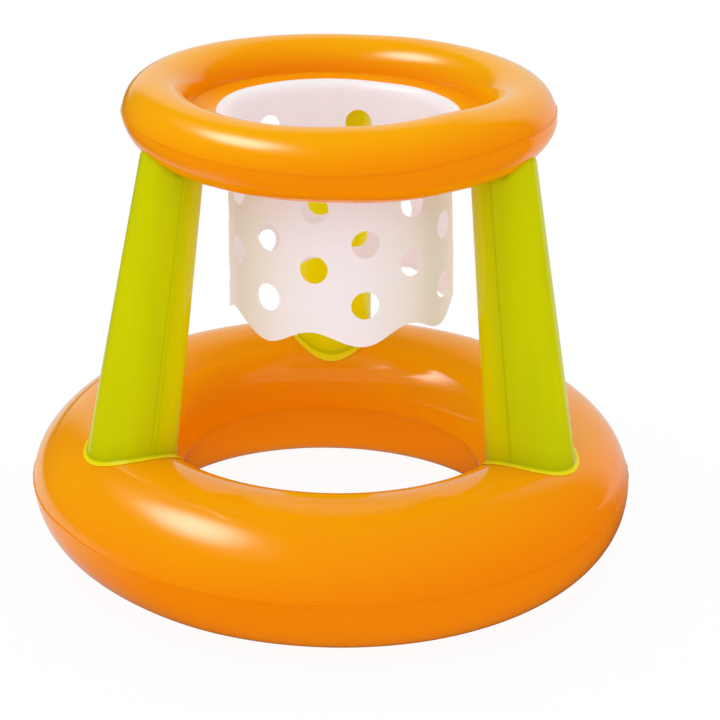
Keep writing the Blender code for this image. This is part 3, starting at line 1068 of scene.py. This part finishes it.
def valveCollar(name):
    # The washer that is welded to the film's inside, so it follows the film
    radii = valveForm["collarRadii"]
    piece = drawCircle(f"{name}_valve_collar_moulding", valveForm["collarSides"], radii[0])
    for last, radius in zip(radii, radii[1:]):
        drawOn(radius / last, (0.0, 0.0, 0.0))
    objectMode()
    for vert in piece.data.vertices:
        vert.co.z = skinOver(name, vert.co.x, vert.co.y) - film["thickness"] - valveForm["collarGap"]
    piece.data.update()
    outwards(piece, (0.0, valveForm["collarProbe"], 0.0), (0.0, 0.0, 1.0))
    thicken(piece, valveForm["collarThickness"])
    roundEdges(piece, *valveForm["collarRounding"])
    setInPlace(piece, name)
    stand(piece, "float", "clear_moulding", materials["clearMoulding"], f"{name}_valve_collar")


def strapPath():
    # From the stem's rim out to the bend and back over the plug's cap: (outward, height) points
    start, end = valveForm["strapFrom"], valveForm["strapTo"]
    low, high = valveForm["strapLow"], valveForm["strapHigh"]
    radius = (high - low) / 2
    middle = valveForm["strapReach"] - radius - valveForm["strapThickness"] / 2
    steps = valveForm["straightSteps"]
    points = [(start + (middle - start) * step / steps, low) for step in range(steps + 1)]
    for step in range(1, valveForm["bendSteps"]):
        turn = pi * step / valveForm["bendSteps"] - pi / 2
        points.append((middle + radius * cos(turn), low + radius + radius * sin(turn)))
    return points + [(middle + (end - middle) * step / steps, high) for step in range(steps + 1)]


def valveStrap(name):
    points = strapPath()
    clearSelection()
    bpy.ops.mesh.primitive_plane_add(size=1.0)
    piece = nameActive(f"{name}_valve_strap_moulding")
    editAll(piece)
    bpy.ops.transform.resize(value=(0.0, valveForm["strapWidth"], 1.0), center_override=(0.0, 0.0, 0.0))
    bpy.ops.mesh.remove_doubles(threshold=film["merge"])
    bpy.ops.transform.translate(value=(points[0][0], 0.0, points[0][1]))
    for last, point in zip(points, points[1:]):
        way = (point[0] - last[0], 0.0, point[1] - last[1])
        bpy.ops.mesh.extrude_region_move(TRANSFORM_OT_translate={"value": way})
    objectMode()
    low = valveForm["strapFrom"] + valveForm["strapInset"]
    high = valveForm["strapReach"] - valveForm["strapInset"]
    for vert in piece.data.vertices:
        vert.co.y *= 1.0 - valveForm["strapWaist"] * ease(vert.co.x, low, high)
    outwards(piece, (points[3][0], 0.0, points[3][1]), (0.0, 0.0, -1.0))
    thicken(piece, valveForm["strapThickness"], 0.0)
    roundEdges(piece, *valveForm["strapRounding"])
    setInPlace(piece, name)
    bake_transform(piece)
    stand(piece, None, "clear_moulding", materials["clearMoulding"], f"{name}_valve_strap")


def valveFlap(name):
    # The film disc under the bore, with the tab at its hinge
    tab = valveForm["tab"]
    piece = lathed(f"{name}_valve_flap_film", valveForm["flap"], True)
    for vert in piece.data.vertices:
        share = ease(vert.co.x, *tab["from"]) * (1.0 - ease(abs(vert.co.y), *tab["half"]))
        vert.co.x += tab["reach"] * share
    piece.data.update()
    setInPlace(piece, name)
    stand(piece, f"{name}_flap", "milky_film", materials["milkyFilm"], f"{name}_valve_flap")


for name in valves:
    valveCollar(name)
    for part, solid in (("stem", False), ("plug", True)):
        piece = lathed(f"{name}_valve_{part}_moulding", valveForm[part], solid)
        setInPlace(piece, name)
        stand(piece, f"{name}_{part}", "clear_moulding", materials["clearMoulding"], f"{name}_valve_{part}")
    valveStrap(name)
    valveFlap(name)
print("stage: valves")


# Net

net = {
    "rimRadius": 0.1480,
    "mouthRadius": 0.1285,
    "wallRadius": 0.1190,
    "bendDrop": 0.0120,
    "hemHeight": 0.2827,
    "scallops": 7,
    "scallopDepth": 0.0085,
    "firstColumn": -78.0,
    "holeRadius": 0.0150,
    "holeSides": 40,
    "punchDepth": 0.03,
    "lowHoles": (0.3165, 0.3830, 0.4490),
    "highHoles": (0.3555, 0.4205),
    "sway": 0.030,
    "flare": 0.0036,
    # Degrees that the film is carried round, at the rim and for each metre down, in front and at the back
    "twist": {"front": (2.6, -8.5), "back": (3.3, 23.4)},
    # Degrees that the lowest hole beside the lap is drawn towards it, and where
    "lapPull": {"turn": 7.0, "beside": 11.0, "width": 9.0, "depth": (0.09, 0.14)},
    "hang": {"front": 0.0028, "right": 0.0036, "hem": 0.7},  # how much higher, and the hem's share of it
    "hemSag": ((-125.0, -0.0040), (45.0, -0.0034)),  # (bearing, how much higher the hem is near it)
    "sagWidth": 25.0,
    "looseWaves": ((3, 1.0, 0.0011), (5, 2.6, 0.0008), (14, 0.3, 0.0004)),
    "curl": {"at": -22.0, "width": 20.0, "depth": 0.0045, "from": 0.72},
    "columns": 252,
    "rimRows": 4,
    "bendRows": 7,
    "weldedBend": 4,  # rows of the bend that show the weld
    "wallRows": 36,
    "lapAt": 91.0,
    "lapWidth": 0.0090,
    "lapEdge": 0.0004,
    "lapHeight": 0.00035,
    "probeAt": 0.40,  # a height on the wall where its outside is known
    "smoothing": 35.0,
    "flat": (0.757, 0.2400),  # girth with its lap, and length from rim to hem
}


def netTwist(bearing, height):
    # Degrees that the film is carried round there
    depth = rings["hoop"]["centre"] - height
    back = (1 + sin(radians(bearing))) / 2
    (frontStart, frontRate), (backStart, backRate) = net["twist"]["front"], net["twist"]["back"]
    lap = net["lapPull"]
    beside = bearing - net["lapAt"] - lap["beside"]
    pull = lap["turn"] * hump(beside, lap["width"]) * ease(depth, *lap["depth"])
    return (frontStart + frontRate * depth) * (1 - back) + (backStart + backRate * depth) * back - pull


def netHang(bearing):
    turn = radians(bearing)
    return net["hang"]["front"] * (1 - sin(turn)) / 2 + net["hang"]["right"] * max(0.0, cos(turn))


def netHem(bearing):
    phase = radians(net["scallops"] * (bearing - net["firstColumn"]))
    lifted = net["hang"]["hem"] * (netHang(bearing) - net["hang"]["front"])
    for middle, height in net["hemSag"]:
        lifted += height * hump(wrapped(bearing - middle), net["sagWidth"])
    return net["hemHeight"] - net["scallopDepth"] * cos(phase) + lifted


def netDrift(height):
    # The net hangs a little towards +X
    return net["sway"] * (rings["hoop"]["centre"] - height)


def netPoint(bearing, row, lapped):
    # Rows run from the rim, round the bend and down to the hem
    turn = radians(bearing)
    rimZ = rings["hoop"]["centre"] + film["thickness"] / 2
    mouth, wall = net["mouthRadius"], net["wallRadius"]
    lift = net["lapHeight"] * lapped
    if row <= net["rimRows"]:
        share = row / net["rimRows"]
        reach = net["rimRadius"] + (mouth - net["rimRadius"]) * share
        return Vector((reach * cos(turn), reach * sin(turn), rimZ + flangeWave(bearing, reach)))
    if row <= net["rimRows"] + net["bendRows"]:
        share = (row - net["rimRows"]) / net["bendRows"]
        around = share * pi / 2
        reach = mouth - (mouth - wall) * sin(around) - lift * share
        height = rimZ - net["bendDrop"] * (1 - cos(around)) + flangeWave(bearing, mouth) * (1 - share)
    else:
        share = (row - net["rimRows"] - net["bendRows"]) / net["wallRows"]
        top = rimZ - net["bendDrop"]
        height = top + (netHem(bearing) - top) * share
        reach = wall - lift + net["flare"] * share + share * share * ripple(bearing, net["looseWaves"])
        curl = net["curl"]
        curled = hump(wrapped(bearing - curl["at"]), curl["width"])
        reach -= curl["depth"] * curled * ease(share, curl["from"], 1.0)
    return Vector((reach * cos(turn) + netDrift(height), reach * sin(turn), height))


def netPunches():
    clearSelection()
    tools = []
    columns = 2 * net["scallops"]
    for column in range(columns):
        first = net["firstColumn"] + column * 360.0 / columns
        for level in (net["highHoles"] if column % 2 else net["lowHoles"]):
            turn = radians(first + netTwist(first, level))
            height = level + netHang(first)
            spot = Vector((net["wallRadius"] * cos(turn), net["wallRadius"] * sin(turn), height))
            spot.x += netDrift(height)
            bpy.ops.mesh.primitive_cylinder_add(vertices=net["holeSides"], radius=net["holeRadius"],
                                                depth=net["punchDepth"], location=spot,
                                                rotation=(0.0, pi / 2, turn))
            tools.append(bpy.context.object)
    bpy.ops.object.select_all(action="DESELECT")
    for tool in tools:
        tool.select_set(True)
    bpy.context.view_layer.objects.active = tools[0]
    bpy.ops.object.join()
    bpy.ops.object.transform_apply(location=True, rotation=True, scale=True)
    return bpy.context.object


def hangNet():
    edge = degrees(net["lapEdge"] / net["wallRadius"])
    lap = degrees(net["lapWidth"] / net["wallRadius"])
    angles, lapped = lappedColumns(net["columns"], net["lapAt"], edge, lap, 1)
    rows = net["rimRows"] + net["bendRows"] + net["wallRows"] + 1
    piece, places = rolledSheet("hung_net_film", net["columns"], rows)
    weld = []
    for vert, (column, row) in zip(piece.data.vertices, places):
        vert.co = netPoint(angles[column], row, lapped[column])
        weld.append(1.0 if row < net["rimRows"] + net["weldedBend"] else lapped[column])
    piece.data.update()
    writeAttribute(piece, "weld", weld)
    outwards(piece, (0.0, -net["wallRadius"], net["probeAt"]), (0.0, -1.0, 0.0))
    thicken(piece, film["thickness"])
    punch(piece, netPunches())
    smooth(piece, net["smoothing"])
    stand(piece, "float", "milky_film", materials["milkyFilm"], "net")
    return piece


netPiece = hangNet()
print("stage: net")


# Camera, floor and light

view = {
    "lens": 113.75,
    "target": (0.0288, 0.0, 0.2117),
    "elevation": 21.8,
    "roll": 1.43,
    "distance": 2.52,
    "sensor": 36.0,
    "clip": 0.05,
}

studio = {
    "room": 1.02,  # what lights matt colour from all round
    "dark": 0.03,  # the unlit room, as the gloss sees it
    "wall": 0.75,  # the white wall behind the float, as the gloss sees it
    "wallTowards": (0.208, 0.978, 0.0),
    "wallEdge": (0.70, 0.87),  # where it fades at its sides and at its top
    "wallTop": (0.60, 0.88),
    "paper": 0.70,  # the white paper under its back half, likewise
    "paperSlope": 0.5,
    "paperFront": (-0.20, 0.15),  # metres between which it fades, in front, under the float and at its left
    "paperUnder": (0.20, 0.28),
    "paperLeft": (-0.82, -0.54),
    "paperLean": 0.1,
    "floorSize": 30.0,
    "floorHeight": -0.0004,
    "floorCuts": 4,
    "floorColour": (0.97, 0.97, 0.97, 1.0),
    "shadow": 0.06,  # how strongly the floor shows the shadow
    "white": (1.0, 1.0, 1.0, 1.0),
}

keyLamp = {
    "bearing": -60.0,  # bearings from the camera's side, positive to its right
    "rise": 50.0,
    "distance": 2.6,
    "size": 1.8,
    "power": 6.0,
    "aim": (0.0, 0.0, 0.25),
}

# The soft box that the gloss shows: a bright core and a weak skirt, as half widths seen from the float
glossBox = {
    "bearing": -75.0,
    "rise": 53.0,
    "front": (0.0, 0.2),  # it shows only on its own side of the float
    "parts": [
        {"across": 0.34, "up": 0.22, "full": 0.2, "gone": 1.35, "glow": 12.5},
        {"across": 0.50, "up": 0.28, "full": 0.3, "gone": 1.4, "glow": 2.2},
    ],
}


def addCamera():
    rise = radians(view["elevation"])
    roll = radians(view["roll"])
    back = Vector((0.0, -cos(rise), sin(rise)))
    levelUp = Vector((0.0, sin(rise), cos(rise)))
    levelRight = Vector((1.0, 0.0, 0.0))
    right = levelRight * cos(roll) + levelUp * sin(roll)
    up = levelUp * cos(roll) - levelRight * sin(roll)
    turn = Matrix((right, up, back)).transposed()
    clearSelection()
    place = Vector(view["target"]) + back * view["distance"]
    bpy.ops.object.camera_add(location=place, rotation=turn.to_euler())
    camera = bpy.context.object
    camera.name = "photo_camera"
    camera.data.lens = view["lens"]
    camera.data.sensor_width = view["sensor"]
    camera.data.clip_start = view["clip"]
    bpy.context.scene.camera = camera


def wayTo(bearing, rise):
    turn, lift = radians(bearing), radians(rise)
    return Vector((sin(turn) * cos(lift), -cos(turn) * cos(lift), sin(lift)))


def addKey():
    # Lights matt colour only, because the world draws what the gloss shows
    towards = wayTo(keyLamp["bearing"], keyLamp["rise"])
    clearSelection()
    bpy.ops.object.light_add(type="AREA", location=Vector(keyLamp["aim"]) + towards * keyLamp["distance"],
                             rotation=towards.to_track_quat("Z", "Y").to_euler())
    made = bpy.context.object
    made.name = "keyLamp"
    made.data.shape = "SQUARE"
    made.data.size = keyLamp["size"]
    made.data.energy = keyLamp["power"]
    made.visible_glossy = False


def glowNode(tree, kind, strength):
    return addNode(tree, kind, None, {"Color": studio["white"], "Strength": strength}).outputs[0]


def mixShaders(tree, share, first, second):
    return addNode(tree, "ShaderNodeMixShader", None, {0: share, 1: first, 2: second}).outputs[0]


def shownNode(tree, kind, gloss, seen):
    # The room lights matt colour, the gloss sees its own light, and the camera sees the last shader
    rays = addNode(tree, "ShaderNodeLightPath").outputs
    matt, sheen = glowNode(tree, kind, studio["room"]), glowNode(tree, kind, gloss)
    either = mathNode(tree, "MAXIMUM", rays["Is Camera Ray"], rays["Is Transmission Ray"])
    return mixShaders(tree, either, mixShaders(tree, rays["Is Glossy Ray"], matt, sheen), seen)


def addFloor():
    clearSelection()
    bpy.ops.mesh.primitive_plane_add(size=studio["floorSize"], location=(0.0, 0.0, studio["floorHeight"]))
    floor = nameActive("studio_floor")
    applyPlace(floor)
    editAll(floor)
    bpy.ops.mesh.subdivide(number_cuts=studio["floorCuts"])
    objectMode()
    made = bpy.data.materials.new("paleFloor")
    made.use_nodes = True
    tree = made.node_tree
    tree.nodes.clear()
    out = addNode(tree, "ShaderNodeOutputMaterial")
    place = addNode(tree, "ShaderNodeTexCoord").outputs["Object"]
    spot = addNode(tree, "ShaderNodeSeparateXYZ", None, {"Vector": place}).outputs
    paint = addNode(tree, "ShaderNodeBsdfDiffuse", None, {"Color": studio["floorColour"]}).outputs[0]
    glow = glowNode(tree, "ShaderNodeEmission", 1.0)
    seen = mixShaders(tree, 1.0 - studio["shadow"], paint, glow)
    slope = mathNode(tree, "MULTIPLY", spot["X"], studio["paperSlope"])
    slant = mathNode(tree, "SUBTRACT", spot["Y"], slope)
    paper = mapNode(tree, slant, *studio["paperFront"], 0.0, studio["paper"])
    reach = addNode(tree, "ShaderNodeVectorMath", {"operation": "LENGTH"}, {0: place}).outputs["Value"]
    leftwards = mathNode(tree, "ADD", spot["X"], mathNode(tree, "MULTIPLY", spot["Y"], studio["paperLean"]))
    for value, edge in ((reach, "paperUnder"), (leftwards, "paperLeft")):
        paper = mathNode(tree, "MULTIPLY", paper, mapNode(tree, value, *studio[edge], 0.0, 1.0))
    paper = mathNode(tree, "ADD", paper, studio["dark"])
    link(tree, shownNode(tree, "ShaderNodeEmission", paper, seen), out.inputs["Surface"])
    floor.data.materials.append(made)


def boxGlow(tree, way, part):
    # Light of one part of the soft box, fading smoothly towards its edge
    middle = wayTo(glossBox["bearing"], glossBox["rise"])
    across = Vector((0.0, 0.0, 1.0)).cross(middle).normalized()
    up = middle.cross(across)
    total = 0.0
    for axis, half in ((across, part["across"]), (up, part["up"])):
        share = mathNode(tree, "DIVIDE", dotNode(tree, way, axis), half)
        total = mathNode(tree, "ADD", mathNode(tree, "MULTIPLY", share, share), total)
    away = mathNode(tree, "SQRT", total)
    glow = mapNode(tree, away, part["full"], part["gone"], part["glow"], 0.0)
    front = mapNode(tree, dotNode(tree, way, middle), *glossBox["front"], 0.0, 1.0)
    return mathNode(tree, "MULTIPLY", glow, front)


def addWorld():
    world = bpy.context.scene.world or bpy.data.worlds.new("studio")
    bpy.context.scene.world = world
    world.use_nodes = True
    tree = world.node_tree
    tree.nodes.clear()
    out = addNode(tree, "ShaderNodeOutputWorld")
    way = addNode(tree, "ShaderNodeTexCoord").outputs["Generated"]
    level = addNode(tree, "ShaderNodeVectorMath", {"operation": "MULTIPLY"}, {0: way, 1: (1.0, 1.0, 0.0)})
    level = addNode(tree, "ShaderNodeVectorMath", {"operation": "NORMALIZE"}, {0: level.outputs[0]})
    towards = dotNode(tree, level.outputs[0], studio["wallTowards"])
    wall = mapNode(tree, towards, *studio["wallEdge"], 0.0, studio["wall"])
    height = addNode(tree, "ShaderNodeSeparateXYZ", None, {"Vector": way}).outputs["Z"]
    below = mapNode(tree, height, *studio["wallTop"], 1.0, 0.0)
    gloss = mathNode(tree, "ADD", mathNode(tree, "MULTIPLY", wall, below), studio["dark"])
    for part in glossBox["parts"]:
        gloss = mathNode(tree, "ADD", gloss, boxGlow(tree, way, part))
    seen = glowNode(tree, "ShaderNodeBackground", 1.0)
    link(tree, shownNode(tree, "ShaderNodeBackground", gloss, seen), out.inputs["Surface"])


addCamera()
addFloor()
addWorld()
addKey()
bpy.context.scene.view_settings.view_transform = "Standard"
print("stage: camera, floor and light")
